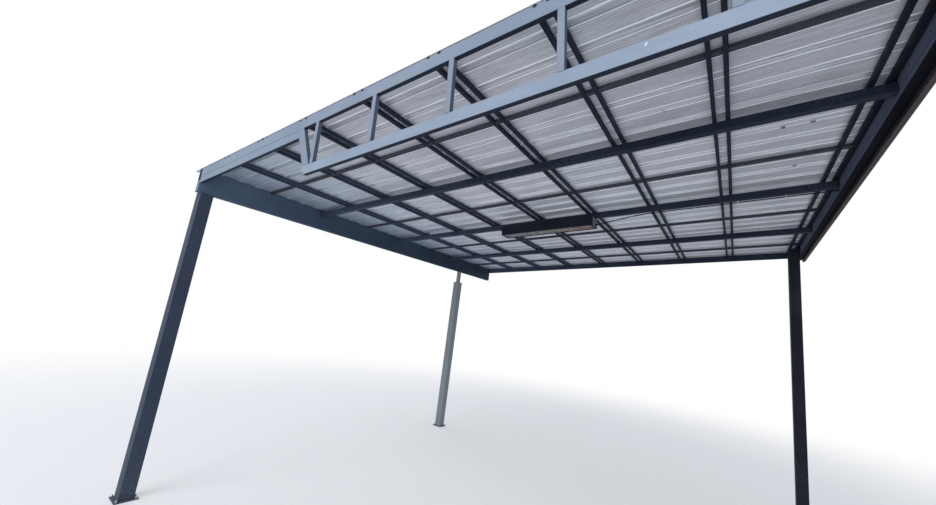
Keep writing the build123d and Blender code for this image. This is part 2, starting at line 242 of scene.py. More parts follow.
# %% [markdown]
# Outdoors the sky lights a roof like this from above and from the open front, and the ground
# throws light back up at the sheets. A plain world light, one large soft lamp high in front, one
# at the side and a pale floor do the same. The lamps stand high enough for the roof to shade its
# own rafters, so the front truss is bright and the tubes behind it are dark, as under any roof.

# %% Light the object
scene.view_settings.view_transform = "Standard"
WORLD_LIGHT = (0.63, 0.69, 0.79)
WORLD_STRENGTH = 0.88
BACKGROUND = (1.0, 1.0, 1.0)
LAMP_SIDE = 8.0

world = bpy.data.worlds.new("daylight")
scene.world = world
world.use_nodes = True
world.node_tree.nodes.clear()
w = Wiring(world.node_tree)
rays = w.add("ShaderNodeLightPath").outputs
seen = w.maths("MAXIMUM", rays["Is Camera Ray"], rays["Is Transmission Ray"])
seen = w.maths("MAXIMUM", seen, rays["Is Glossy Ray"])
sky = w.add("ShaderNodeBackground")
w.feed(sky, Color=WORLD_LIGHT, Strength=WORLD_STRENGTH)
plain = w.add("ShaderNodeBackground")
w.feed(plain, Color=BACKGROUND, Strength=1.0)
both = w.either(seen, sky.outputs[0], plain.outputs[0])
w.join(both, w.add("ShaderNodeOutputWorld").inputs["Surface"])


def soft_lamp(name, place, aim, power, colour):
    """A large square area lamp at place that faces aim; its power is in watts."""
    lamp = bpy.data.lights.new(name, "AREA")
    lamp.size = LAMP_SIDE
    lamp.energy = power
    lamp.color = colour
    back = np.subtract(place, aim).astype(float)
    back /= np.linalg.norm(back)
    right = np.cross((0, 0, 1), back)
    right /= np.linalg.norm(right)
    new_object(name, lamp).matrix_world = placed([right, np.cross(back, right), back], place)


soft_lamp("front_sky", (-1.0, -13.0, 8.5), (0, -2.0, 2.0), 1080, (0.90, 0.95, 1.0))
soft_lamp("side_sky", (-13.0, 3.0, 9.0), (0, 0, 1.0), 330, (1.0, 0.98, 0.95))
print("two lamps and a world light")

# %% [markdown]
# The floor is a plain pale plane that isn't part of the object. It keeps the roof's shadow, and
# to the camera it fades into the white background, so that no horizon line cuts the picture. The
# fade is only colour: a mask grows with the distance from the middle, and where it is full, a
# camera ray sees plain white.

# %% Lay the floor
FLOOR_SIDE = 90.0
FLOOR_COLOUR = (0.80, 0.80, 0.80)
FADE_FROM = 4.5
FADE_TO = 11.0
LEAST_WHITE = 0.35
FLOOR_ROUGHNESS = 0.95
FLOOR_GLOSS = 0.1

corner = FLOOR_SIDE / 2
floor_mesh = bpy.data.meshes.new("floor")
floor_mesh.from_pydata(
    [(-corner, -corner, 0), (corner, -corner, 0), (corner, corner, 0), (-corner, corner, 0)],
    [],
    [(0, 1, 2, 3)],
)
floor = new_object("floor", floor_mesh)
floor_finish = bpy.data.materials.new("pale_floor")
floor_finish.use_nodes = True
w = Wiring(floor_finish.node_tree)
matt = w.tree.nodes["Principled BSDF"]
w.feed(matt, Base_Color=FLOOR_COLOUR, Roughness=FLOOR_ROUGHNESS, Specular_IOR_Level=FLOOR_GLOSS)
away = w.add("ShaderNodeVectorMath", operation="LENGTH")
w.join(w.add("ShaderNodeTexCoord").outputs["Object"], away.inputs[0])
fade = w.add("ShaderNodeMapRange", interpolation_type="SMOOTHSTEP")
distance = away.outputs["Value"]
w.feed(fade, Value=distance, From_Min=FADE_FROM, From_Max=FADE_TO, To_Min=LEAST_WHITE)
camera_ray = w.add("ShaderNodeLightPath").outputs["Is Camera Ray"]
white = w.add("ShaderNodeEmission")
w.feed(white, Color=BACKGROUND)
share = w.times(fade.outputs["Result"], camera_ray)
both = w.either(share, matt.outputs[0], white.outputs[0])
w.join(both, w.tree.nodes["Material Output"].inputs["Surface"])
floor_mesh.materials.append(floor_finish)
print("floor", FLOOR_SIDE, "m across")

# %% [markdown]
# Every finish here is a mix of the same few effects, such as streaks, dust and painted daylight.
# So each effect is a node group with named sockets, made once and placed in each material with its
# own values.

# %% Start a node group
FLOAT, COLOUR, VECTOR = "NodeSocketFloat", "NodeSocketColor", "NodeSocketVector"


def new_group(name, inputs):
    """A node group that takes the named inputs and gives a colour, a roughness and a height."""
    group = bpy.data.node_groups.new(name, "ShaderNodeTree")
    for label, kind, default in inputs:
        socket = group.interface.new_socket(label, in_out="INPUT", socket_type=kind)
        socket.default_value = default
    for label, kind in (("Color", COLOUR), ("Roughness", FLOAT), ("Height", FLOAT)):
        group.interface.new_socket(label, in_out="OUTPUT", socket_type=kind)
    wiring = Wiring(group)
    return wiring, wiring.add("NodeGroupInput").outputs, wiring.add("NodeGroupOutput").inputs


print("groups give a colour, a roughness and a height")

# %% [markdown]
# Site-painted steel is never one tone. The enamel goes on with a brush along the tube, so it has
# faint streaks in that direction, a slight orange peel and cloudy patches where a coat is thinner.
# Pale dust settles on it and rain splashes dirt on its lowest hand's breadth. On the truss, faces
# that look to the open front are painted a pale blue grey as painted daylight, fully on the outer
# face and nearly half as much on the sides. Undersides are painted darker as painted shade, and
# they hold hardly any dust. A flat picture could not follow all these tubes, but noise in the
# object's own coordinates does, and a face is told by its normal in the object, which no camera
# changes.

# %% Effect: brushed enamel
# A normal's part along an axis, from where a face begins to count as looking that way to where it
# fully does.
TO_FRONT = (-0.5, -0.85)
TO_A_SIDE = (0.5, 0.85)
DOWNWARDS = (-0.6, -0.9)
SPLASH_HEIGHTS = (0.28, 0.02)

w, given, result = new_group(
    "brushed_enamel",
    [("Where", VECTOR, (0, 0, 0)), ("Along", VECTOR, (0, 0, 0)), ("Facing", VECTOR, (0, 0, 0)),
     ("Paint", COLOUR, (0.1, 0.1, 0.1, 1)), ("Thin", COLOUR, (0.2, 0.2, 0.2, 1)),
     ("Dust", COLOUR, (0.5, 0.48, 0.45, 1)), ("Chalk", COLOUR, (0.3, 0.3, 0.3, 1)),
     ("Dustiness", FLOAT, 0.2), ("Chalking", FLOAT, 0.0), ("Dullness", FLOAT, 0.4)],
)
streaks = w.noise(given["Along"], 1.0, 4.0, 0.6)
clouds = w.noise(given["Where"], 2.3, 4.0, 0.55)
peel = w.noise(given["Where"], 420.0, 1.0, 0.4)
specks = w.noise(given["Where"], 95.0, 3.0, 0.7)
thin_share = w.times(w.between(streaks, 0.5, 0.78), w.between(clouds, 0.35, 0.75))
painted = w.blend(w.times(thin_share, 0.6), given["Paint"], given["Thin"])
facing = w.parts(given["Facing"])
# Painted daylight: faces that look to the front, and less so to the sides, are painted in the pale
# sky-lit colour.
outward = w.between(facing["Y"], *TO_FRONT)
sideways = w.between(w.maths("ABSOLUTE", facing["X"]), *TO_A_SIDE)
outward = w.maths("MAXIMUM", outward, w.times(sideways, 0.45))
lit_variation = w.plus(0.8, w.times(w.plus(clouds, streaks), 0.2))
sky_lit_share = w.maths("MULTIPLY", w.times(outward, lit_variation), given["Chalking"], clamp=True)
painted = w.blend(sky_lit_share, painted, given["Chalk"])
shaded = w.dimmed(painted, w.plus(w.times(clouds, 0.3), 0.85))
under = w.between(facing["Z"], *DOWNWARDS)
# Painted shade: undersides are dimmed by a quarter.
shaded = w.dimmed(shaded, w.plus(1.0, w.times(under, -0.25)))
low = w.between(w.parts(given["Where"])["Z"], *SPLASH_HEIGHTS)
splash = w.times(low, w.between(specks, 0.35, 0.65))
dust_mask = w.times(w.between(specks, 0.42, 0.72), w.between(clouds, 0.3, 0.8))
settled = w.times(w.plus(dust_mask, splash), w.plus(1.0, w.times(under, -0.8)))
dust_share = w.maths("MULTIPLY", settled, given["Dustiness"], clamp=True)
w.join(w.blend(dust_share, shaded, given["Dust"]), result["Color"])
rough = w.plus(given["Dullness"], w.times(streaks, 0.16))
rough = w.plus(rough, w.times(sky_lit_share, 0.12))
w.join(w.plus(rough, w.times(dust_share, 0.5), clamp=True), result["Roughness"])
w.join(w.plus(w.times(streaks, 0.7), w.times(peel, 0.3)), result["Height"])
enamel = w.tree
print("group", enamel.name)

# %% [markdown]
# Coated roof sheet leaves the rolls with fine lines along its length, and the coating sets in
# crystals a few millimetres across. At both feet of every rib a bright line is painted: a painted
# highlight for the light that the folds catch under a roof, with thin lines of painted shade beside
# them as creases. The rolls also press ten fine lines to a rib. All of these run along
# the ribs, so they are drawn by one number: the place across a rib, which is the remainder of y
# after whole pitches. One formula then serves all the ribs, and no picture is needed.

# %% Effect: rolled and coated sheet, its masks
RIB_PITCH = 0.160
LINES_PER_RIB = 10
# As shares of a pitch from a rib's crown: a painted highlight's middle, where it is full and where
# it ends, a painted crease shade's middle and half width, and how far from the crown the rib is
# whole and where it is over.
HIGHLIGHT_LINES = ((-0.156, 0.028, 0.050), (0.150, 0.017, 0.032))
CREASE_SHADE_LINES = ((-0.112, 0.016), (0.122, 0.014), (0.182, 0.016))
RIB_WHOLE, RIB_OVER = 0.118, 0.138
CRYSTALS_PER_METRE = 150.0

w, given, result = new_group(
    "rolled_sheet",
    [("Where", VECTOR, (0, 0, 0)), ("Along", VECTOR, (0, 0, 0)), ("Facing", VECTOR, (0, 0, 0)),
     ("Bright", COLOUR, (0.6, 0.6, 0.62, 1)), ("Dull", COLOUR, (0.4, 0.4, 0.42, 1)),
     ("Stain", COLOUR, (0.2, 0.18, 0.16, 1)), ("Staining", FLOAT, 0.3), ("Folds", FLOAT, 0.0)],
)
where = w.parts(given["Where"])
facing = w.parts(given["Facing"])
ribs_along = w.maths("DIVIDE", w.plus(where["Y"], -ROOF_ORIGIN[1]), RIB_PITCH)
from_crown = w.plus(w.maths("FRACT", w.plus(ribs_along, 0.5)), -0.5)
highlighted = crease_shade = 0.0
# Painted highlights: bright lines at both feet of each rib.
for middle, full, end in HIGHLIGHT_LINES:
    off = w.maths("ABSOLUTE", w.plus(from_crown, -middle))
    highlighted = w.maths("MAXIMUM", highlighted, w.between(off, end, full))
# Painted shade: thin dark lines beside the highlights.
for middle, half in CREASE_SHADE_LINES:
    crease_shade = w.plus(crease_shade, w.crest(from_crown, middle, half), clamp=True)
in_rib = w.between(w.maths("ABSOLUTE", from_crown), RIB_OVER, RIB_WHOLE)
pressed = w.maths("SINE", w.times(from_crown, 2 * math.pi * LINES_PER_RIB))
lines = w.noise(given["Along"], 1.0, 5.0, 0.65)
bands = w.noise(w.scaled(given["Along"], (0.35, 0.33, 0.33)), 1.0, 4.0, 0.7)
film = w.noise(given["Where"], 1.7, 5.0, 0.6)
smudges = w.noise(given["Where"], 11.0, 4.0, 0.75)
crystals = w.add("ShaderNodeTexVoronoi")
w.feed(crystals, Vector=given["Where"], Scale=CRYSTALS_PER_METRE)
spangle = w.add("ShaderNodeSeparateColor")
w.join(crystals.outputs["Color"], spangle.inputs[0])
above = w.between(facing["Z"], -0.1, 0.1)
rib_side = w.between(facing["Y"], *TO_FRONT)
print("masks for ribs", RIB_PITCH, "m apart")

# %% [markdown]
# The colour is then built up from the inside out. The film on the sheet is a little warmer in some
# places than in others. As painted light it is bluer and darker towards the low eave and greyer
# beside the wall, and the ribs are painted a little brighter than the pans, most of all on their
# sides that look to the front. The painted highlights of the folds come next, weaker towards the
# eave, then the lines, the painted shade of the creases, the crystals and the small dark smudges
# that damp leaves. On the upper side the highlights are left out and everything is a little darker,
# as painted shade.

# %% Effect: rolled and coated sheet, its colour
WARM_FILM = (1.0, 0.968, 0.985)
COOL_FILM = (0.972, 1.0, 0.985)
EAVE_LIGHT_TINT = (0.73, 0.81, 0.91)
WALL_LIGHT_TINT = (0.89, 0.88, 0.87)
# Places along x in metres, from where a change begins to where it is full.
TO_EAVE = (-0.7, -1.9)
TO_WALL = (0.9, 1.8)
BRIGHTER_HIGHLIGHTS = (-1.7, 0.1)

ribbed = given["Folds"]
up_roof = where["X"]
patches = w.plus(w.noise(given["Where"], 0.9, 2.0, 0.5), w.times(up_roof, -0.04))
tint = w.blend(w.between(patches, 0.42, 0.6), WARM_FILM, COOL_FILM)
# Painted light: the sheet is tinted bluer and darker towards the low eave and greyer beside the
# wall.
tint = w.blend(w.times(w.between(up_roof, *TO_EAVE), ribbed), tint, EAVE_LIGHT_TINT)
tint = w.blend(w.times(w.between(up_roof, *TO_WALL), ribbed), tint, WALL_LIGHT_TINT)
tinted = w.add("ShaderNodeVectorMath", operation="MULTIPLY")
w.join(given["Dull"], tinted.inputs[0])
w.join(tint, tinted.inputs[1])
filmed = w.dimmed(tinted.outputs[0], w.plus(1.12, w.times(film, -0.3)))
# Painted light: the ribs are a fifth brighter, and their sides that look to the front a little more.
filmed = w.dimmed(filmed, w.plus(1.0, w.times(w.times(in_rib, ribbed), 0.2)))
filmed = w.dimmed(filmed, w.plus(1.0, w.times(w.times(rib_side, ribbed), 0.14)))
# The painted highlights are weaker towards the eave and left off the upper side.
highlight_strength = w.plus(0.4, w.times(w.between(up_roof, *BRIGHTER_HIGHLIGHTS), 0.6))
highlight_share = w.times(ribbed, w.times(highlighted, w.plus(0.5, lines)))
highlight_share = w.times(w.times(highlight_share, highlight_strength), w.maths("SUBTRACT", 1.0, above))
base = w.blend(highlight_share, filmed, given["Bright"])
lined = w.plus(0.29, w.plus(w.times(lines, 0.9), w.times(bands, 0.54)))
lined = w.plus(lined, w.times(w.times(pressed, ribbed), 0.1))
# Painted shade along the creases.
lined = w.times(lined, w.plus(1.0, w.times(w.times(crease_shade, ribbed), -0.5)))
flake = w.plus(0.95, w.times(spangle.outputs[0], 0.1))
# Painted shade: the upper side is a fifth darker.
upper_side_dimming = w.plus(1.0, w.times(w.times(above, ribbed), -0.22))
shaded = w.dimmed(base, w.times(w.times(lined, flake), upper_side_dimming))
stain_share = w.maths("MULTIPLY", w.between(smudges, 0.66, 0.8), given["Staining"], clamp=True)
w.join(w.blend(stain_share, shaded, given["Stain"]), result["Color"])
rough = w.plus(w.plus(0.30, w.times(film, 0.2)), w.times(stain_share, 0.3))
w.join(w.plus(rough, w.times(highlight_share, -0.08)), result["Roughness"])
w.join(w.plus(w.times(lines, 0.6), w.times(spangle.outputs[0], 0.12)), result["Height"])
sheet_effect = w.tree
print("group", sheet_effect.name)

# %% [markdown]
# A material places one effect, gives it a colour and the direction of its tube, and passes what
# comes out to the surface shader. The direction is only a stretch of the object's own coordinates:
# small along the tube and large across it, so that the streaks come out long and thin.

# %% Make a finish
ALONG = {"x": (1.6, 95, 95), "y": (95, 1.6, 95), "z": (95, 95, 1.6)}
BUMP_DEPTH = 0.001


def finish(name, effect, along, bump, metallic=0.0, gloss=0.5, **values):
    """A material that feeds one effect's colour, roughness and height to the surface shader."""
    made = bpy.data.materials.new(name)
    made.use_nodes = True
    wire = Wiring(made.node_tree)
    surface = made.node_tree.nodes["Principled BSDF"]
    place = wire.add("ShaderNodeTexCoord").outputs
    group = wire.add("ShaderNodeGroup", node_tree=effect)
    stretched = wire.scaled(place["Object"], ALONG[along])
    wire.feed(group, Where=place["Object"], Along=stretched, Facing=place["Normal"], **values)
    wire.join(group.outputs["Color"], surface.inputs["Base Color"])
    wire.join(group.outputs["Roughness"], surface.inputs["Roughness"])
    relief = wire.add("ShaderNodeBump")
    wire.feed(relief, Strength=bump, Distance=BUMP_DEPTH, Height=group.outputs["Height"])
    wire.join(relief.outputs["Normal"], surface.inputs["Normal"])
    surface.inputs["Metallic"].default_value = metallic
    surface.inputs["Specular IOR Level"].default_value = gloss
    return made


print("streaks run along", ", ".join(ALONG))

# %% [markdown]
# The whole frame has one navy paint, but its colours here carry painted light and shade: paler and
# bluer towards the open low end, nearly black beside the wall, palest of all on the truss outside.
# So one function gives the paint, and a second lets its colour run along an axis of the object, or
# change with the way a face looks.

# %% Mix the frame's paints
NAVY = (0.017, 0.0245, 0.043)
NAVY_THIN = (0.028, 0.037, 0.058)
NAVY_LIT_LOW_END = (0.06, 0.082, 0.125)
NAVY_SHADED = (0.008, 0.009, 0.016)
NAVY_RAFTER = (0.021, 0.029, 0.05)
NAVY_LIT_LOW_POST = (0.05, 0.066, 0.1)
NAVY_SHADED_HIGH_POST = (0.0145, 0.0165, 0.025)
DUST = (0.42, 0.4, 0.37)
# Colours of the painted daylight on the truss's outer faces.
SKY_LIT_FACE = (0.245, 0.285, 0.35)
PALE_SKY_LIT_FACE = (0.29, 0.337, 0.41)
LOW_END, ROOF_MIDDLE, NEAR_WALL, AT_WALL = -2.2, 0.4, 1.6, 2.1


def navy_paint(name, way, **values):
    """The frame's paint with its streaks along one axis."""
    given = {"gloss": 0.08, "Chalk": SKY_LIT_FACE, "Chalking": 0.0, "Dullness": 0.5, **values}
    return finish(
        name, enamel, way, 0.25, Paint=NAVY, Thin=NAVY_THIN, Dust=DUST, Dustiness=0.14, **given,
    )


def change_along(made, axis, places, colours, source="Object"):
    """Makes a finish's paint run through colours at places in metres along one of its axes. With
    Normal as the source, the places are shares of a normal along that axis."""
    wire = Wiring(made.node_tree)
    group = next(node for node in made.node_tree.nodes if node.type == "GROUP")
    place = wire.parts(wire.add("ShaderNodeTexCoord").outputs[source])[axis]
    paint = colours[0]
    for start, end, colour in zip(places, places[1:], colours[1:]):
        paint = wire.blend(wire.between(place, start, end), paint, colour)
    wire.join(paint, group.inputs["Paint"])


frame_paint = {way: navy_paint("frame_paint_" + way, way) for way in "xyz"}
# Painted light and shade: the rafters, the posts and the purlins are paler towards the open low end,
# and the purlins are nearly black beside the wall.
change_along(frame_paint["x"], "X", (LOW_END, ROOF_MIDDLE), [NAVY_LIT_LOW_END, NAVY_RAFTER])
change_along(frame_paint["z"], "X", (LOW_END, ROOF_MIDDLE), [NAVY_LIT_LOW_POST, NAVY_SHADED_HIGH_POST])
change_along(
    frame_paint["y"], "X", (LOW_END, ROOF_MIDDLE, NEAR_WALL, AT_WALL),
    [NAVY_LIT_LOW_END, NAVY, NAVY, NAVY_SHADED],
)
# Painted daylight on the truss and its lower chord: their outer faces are painted pale, as if lit by
# the open sky.
SKY_LIT_TRUSS = {"gloss": 0.15, "Chalking": 0.95, "Dullness": 0.55}
truss_paint = {way: navy_paint("truss_paint_" + way, way, **SKY_LIT_TRUSS) for way in "xz"}
lower_chord_paint = navy_paint("lower_chord_paint", "x", Chalk=PALE_SKY_LIT_FACE, **SKY_LIT_TRUSS)
wall_paint = navy_paint("wall_beam_paint", "y", gloss=0.02)
LOOKS_DOWN_ROOF = (-0.95, -0.6)
# Painted light and shade: the wall beam's faces that look down the roof are lighter, and its other
# faces are nearly black.
change_along(wall_paint, "X", LOOKS_DOWN_ROOF, [(0.088, 0.1, 0.146), (0.006, 0.006, 0.01)], "Normal")
eave_paint = navy_paint("eave_beam_paint", "y")
# Painted light: the eave beam is paler towards the open front and darker towards the rear.
change_along(
    eave_paint, "Y", (-2.4, -1.1, 1.5),
    [(0.115, 0.165, 0.235), (0.062, 0.09, 0.14), (0.025, 0.039, 0.063)],
)
print("paints", len(frame_paint) + len(truss_paint) + 3)

# %% [markdown]
# The other finishes of the frame and the roof use the same two effects with their own values: the
# old grey post, the primer on the bridging bars, coated and bare metal and the brown packing
# strip. Dirt and a spilt drop of white paint have their own as well.

# %% Make the other finishes of the frame
grey_post = finish(
    "grey_post", enamel, "z", 0.25, Paint=(0.215, 0.24, 0.25), Thin=(0.27, 0.29, 0.3), Dust=DUST,
    Dustiness=0.2, Dullness=0.4,
)
primer = finish(
    "bridging_primer", enamel, "x", 0.4, gloss=0.1, Paint=(0.06, 0.061, 0.081),
    Thin=(0.09, 0.087, 0.104), Dust=DUST, Dustiness=0.25, Dullness=0.55,
)
# Bright is the colour of the painted highlights along the ribs.
roof_metal = finish(
    "roof_metal", sheet_effect, "x", 0.5, metallic=0.35, Bright=(0.98, 0.98, 1.0),
    Dull=(0.565, 0.57, 0.60), Stain=(0.06, 0.05, 0.045), Staining=0.8, Folds=1.0,
)
packing = finish(
    "brown_packing", enamel, "y", 0.5, gloss=0.2, Paint=(0.035, 0.022, 0.026),
    Thin=(0.075, 0.05, 0.05), Dust=DUST, Dustiness=0.2, Dullness=0.65,
)
# Painted shade: the strip's face that looks down the roof is nearly black, and its other faces stay
# brown.
change_along(packing, "X", LOOKS_DOWN_ROOF, [(0.012, 0.009, 0.012), (0.09, 0.066, 0.068)], "Normal")
dirt = finish(
    "nest_dirt", enamel, "x", 0.6, gloss=0.0, Paint=(0.3, 0.285, 0.285), Thin=(0.36, 0.35, 0.345),
    Dust=(0.4, 0.39, 0.38), Dustiness=0.5, Dullness=0.8,
)
white_enamel = finish(
    "white_enamel", enamel, "x", 0.1, Paint=(0.72, 0.75, 0.78), Thin=(0.6, 0.62, 0.64), Dust=DUST,
    Dustiness=0.05, Dullness=0.35,
)
zinc = finish(
    "zinc_plate", sheet_effect, "z", 0.3, metallic=0.85, Bright=(0.62, 0.62, 0.6),
    Dull=(0.42, 0.42, 0.41), Stain=(0.14, 0.07, 0.03), Staining=0.7,
)
print("finishes", len(bpy.data.materials))

# %% [markdown]
# The lamp hangs where nobody wipes it. Its diffuser is grey at the low end, yellow in the middle
# and rusty at the high end, full of dark blotches, and dark along both edges, where it sits in the
# black shell. The blotches and edges are laid over the finish with masks, and the shell, the end
# caps and the cable's sheath are plain dark plastics with a little dust.

# %% Make the lamp's finishes
def cover(made, colour, make_mask):
    """Lays one more colour over a finish, where a mask made from the object's coordinates is one."""
    wire = Wiring(made.node_tree)
    surface = made.node_tree.nodes["Principled BSDF"]
    shown = surface.inputs["Base Color"].links[0].from_socket
    mask = make_mask(wire, wire.add("ShaderNodeTexCoord").outputs["Object"])
    wire.join(wire.blend(mask, shown, colour), surface.inputs["Base Color"])


def blotches(wire, place):
    """Zero to 0.8 where a noise of a few centimetres is high."""
    return wire.times(wire.between(wire.noise(place, 45.0, 1.0), 0.46, 0.56), 0.8)


def both_edges(wire, place):
    """Zero up to 44 mm from the lamp's middle line and one from 58 mm."""
    return wire.between(wire.maths("ABSOLUTE", wire.parts(place)["Y"]), 0.044, 0.058)


lamp_black = finish(
    "lamp_black", enamel, "x", 0.15, gloss=0.2, Paint=(0.012, 0.014, 0.022),
    Thin=(0.02, 0.023, 0.034), Dust=(0.06, 0.065, 0.08), Dustiness=0.3, Dullness=0.5,
)
diffuser = finish(
    "dusty_diffuser", enamel, "x", 0.1, Paint=(0.36, 0.32, 0.26), Thin=(0.3, 0.27, 0.23),
    Dust=(0.045, 0.043, 0.045), Dustiness=1.0, Dullness=0.4,
)
change_along(
    diffuser, "X", (-0.47, 0.0, 0.25, 0.45),
    [(0.27, 0.28, 0.3), (0.34, 0.32, 0.27), (0.34, 0.27, 0.21), (0.38, 0.21, 0.16)],
)
cover(diffuser, (0.03, 0.03, 0.034), blotches)
cover(diffuser, (0.008, 0.009, 0.014), both_edges)
cap_plastic = navy_paint("lamp_cap_plastic", "x", gloss=0.2, Dullness=0.5)
change_along(cap_plastic, "X", (0.9, 0.98), [(0.007, 0.009, 0.017), (0.15, 0.165, 0.19)], "Normal")
cable_sheath = finish(
    "cable_sheath", enamel, "x", 0.1, gloss=0.1, Paint=(0.006, 0.006, 0.008),
    Thin=(0.015, 0.015, 0.018), Dust=DUST, Dustiness=0.1, Dullness=0.6,
)
print("lamp finishes", lamp_black.name, diffuser.name, cap_plastic.name, cable_sheath.name)

# %% [markdown]
# Each node of the model takes the finish of its kind. The streaks run along the piece, so the
# tubes up the slope, the purlins and the posts each have their own copy of the same paint.

# %% Paint the model
FINISH_OF = {
    "front_top_chord": truss_paint["x"], "front_stub_chord": truss_paint["x"],
    "front_bottom_chord": lower_chord_paint, "front_end_strut": truss_paint["z"],
    "front_truss_posts": truss_paint["z"], "rear_beam": frame_paint["x"],
    "rafter": frame_paint["x"], "purlin_pair": frame_paint["y"], "bridging_row": primer,
    "eave_beam": eave_paint, "eave_end_plate": truss_paint["z"],
    "wall_beam": wall_paint, "wall_packing_strip": packing, "wall_flashing": roof_metal,
    "front_left_post": frame_paint["z"], "rear_left_post": grey_post,
    "front_right_post": frame_paint["z"], "rear_right_post": frame_paint["z"],
    "post_base_plates": frame_paint["x"], "lamp_housing": lamp_black, "lamp_end_caps": cap_plastic,
    "lamp_diffuser": diffuser, "lamp_cable_clips": zinc, "lamp_cable": cable_sheath,
    "roof_sheet": roof_metal,
}
for name, made in nodes.items():
    kind = max((key for key in FINISH_OF if name.startswith(key)), key=len)
    made.data.materials.clear()
    made.data.materials.append(FINISH_OF[kind])
cable_curve.materials.append(cable_sheath)
print("painted", len(nodes), "nodes and the cable")

# %% [markdown]
# The small parts that a fitter adds are nearly all rings one above the other: a washer, a
# six-sided head, a threaded stud, a cable gland, a weld bead. So one grid of rings and angles
# makes them all, and its faces are the same for every copy.

# %% Rings, their faces and their copies


def turned(profile, sides=12):
    """Rings of corners: a row gives radius, height and how six-sided the ring is. At angle a the
    corner lies at radius times (cos a, sin a), and a full six-sided ring divides the radius by
    the cosine of the angle to the nearest flat's middle."""
    turn = np.linspace(0, 2 * np.pi, sides, endpoint=False)
    radius, height, hexness = np.asarray(profile, float).T[:, :, None]
    off_flat = (turn + np.pi / 6) % (np.pi / 3) - np.pi / 6
    reach = radius * (1 + hexness * (1 / np.cos(off_flat) - 1))
    rise = np.broadcast_to(height, reach.shape)
    return np.stack([reach * np.cos(turn), reach * np.sin(turn), rise], axis=-1)


def ring_faces(rows, sides, copies):
    """Quads between neighbouring rings and a lid on both ends, for each copy in turn."""
    ring = np.arange(sides)
    after = (ring + 1) % sides
    row = sides * np.arange(rows - 1)[:, None]
    quads = np.stack([row + ring, row + after, row + sides + after, row + sides + ring], axis=-1)
    lids = np.stack([ring[::-1], ring + sides * (rows - 1)])
    step = rows * sides * np.arange(copies)[:, None, None]
    whole = (quads.reshape(1, -1, 4) + step).reshape(-1, 4).tolist()
    return whole + (lids[None] + step).reshape(-1, sides).tolist()


def new_piece(name, rings, finish_used):
    """A piece of the carport from an array of copies, rows, sides and three coordinates."""
    copies, rows, sides = rings.shape[:3]
    mesh = bpy.data.meshes.new(name)
    mesh.from_pydata(rings.reshape(-1, 3), [], ring_faces(rows, sides, copies))
    mesh.materials.append(finish_used)
    made = new_object(name, mesh)
    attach(made, "root")
    print(name, copies, "copies,", len(mesh.polygons), "faces")


def set_down(shape, places, axes):
    """Copies of a shape: its own x, y and z run along the three rows of axes, from each place."""
    return np.asarray(places, float)[:, None, None, :] + shape @ np.asarray(axes, float)


# %% [markdown]
# The sheets are held by roofing screws through the crowns of the ribs into the tubes below. Each
# is a six-sided head on a domed washer. The lapped ribs stand one sheet higher, and the last row
# goes through the flashing.

# %% Drive the roofing screws
RIB_TOTAL = 29
RIBS_PER_SHEET = 5
CROWN_TOP = 0.0255
LAP_TOP = 0.0270
FLASHING_TOP = 0.0285
EVEN_PAIRS = 7
FIRST_PAIR, PAIR_PITCH, LAST_PAIR = 0.475, 0.547, 4.370
PAIR_MIDDLES = np.append(FIRST_PAIR + PAIR_PITCH * np.arange(EVEN_PAIRS), LAST_PAIR)
TUBE_OFFSET = 0.0315
EAVE_SCREW_ROW = -0.025
SCREW = [
    (0.0080, 0, 0), (0.0080, 0.0012, 0), (0.0062, 0.0022, 0),
    (0.0040, 0.0022, 1), (0.0040, 0.0062, 1), (0.0033, 0.0068, 1),
]

rib_number = np.arange(1, RIB_TOTAL + 1)
crown = np.where(rib_number % RIBS_PER_SHEET == 0, LAP_TOP, CROWN_TOP)
screw_rows = np.append(EAVE_SCREW_ROW, PAIR_MIDDLES[:-1] - TUBE_OFFSET)
up, number = np.meshgrid(screw_rows, rib_number, indexing="ij")
plain_screws = np.stack([up, RIB_PITCH * number, np.broadcast_to(crown, up.shape)], axis=-1)
wall_screws = np.column_stack([
    np.full(RIB_TOTAL, PAIR_MIDDLES[-1] + TUBE_OFFSET),
    RIB_PITCH * rib_number,
    np.full(RIB_TOTAL, FLASHING_TOP),
])
screw_places = on_roof(np.concatenate([plain_screws.reshape(-1, 3), wall_screws]))
new_piece("roofing_screws", set_down(turned(SCREW), screw_places, ROOF_AXES), zinc)

# %% [markdown]
# Each post's plate has four anchor studs with a washer and a nut. A real thread winds round as a
# helix, but from a step away a zigzag of rings at the pitch of an M10 stud looks the same and needs
# far fewer faces.

# %% Bolt the posts down
PLATE_TOP = 0.006
BOLT_REACH = 0.060
NUT_TOP = 0.0103
THREAD_PITCH = 0.0015
THREAD_RINGS = 13
THREAD_CREST, THREAD_ROOT = 0.0050, 0.0043
POSTS = ("front_left_post", "rear_left_post", "front_right_post", "rear_right_post")

ring_number = np.arange(THREAD_RINGS)
thread = np.column_stack([
    np.where(ring_number % 2 == 0, THREAD_CREST, THREAD_ROOT),
    NUT_TOP + THREAD_PITCH / 2 * ring_number,
    np.zeros(THREAD_RINGS),
])
anchor = [
    (0.0098, 0, 0), (0.0098, 0.0020, 0), (0.0080, 0.0020, 1), (0.0080, 0.0095, 1),
    (0.0074, NUT_TOP, 0.6), *thread.tolist(), (0.0036, 0.0203, 0),
]
middles = np.array([np.mean(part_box(post), axis=0)[:2] for post in POSTS])
reach = BOLT_REACH * np.array([(-1, -1), (1, -1), (1, 1), (-1, 1)])
bolt_places = (middles[:, None] + reach).reshape(-1, 2)
bolt_places = np.column_stack([bolt_places, np.full(len(bolt_places), PLATE_TOP)])
new_piece("anchor_bolts", set_down(turned(anchor), bolt_places, np.eye(3)), zinc)

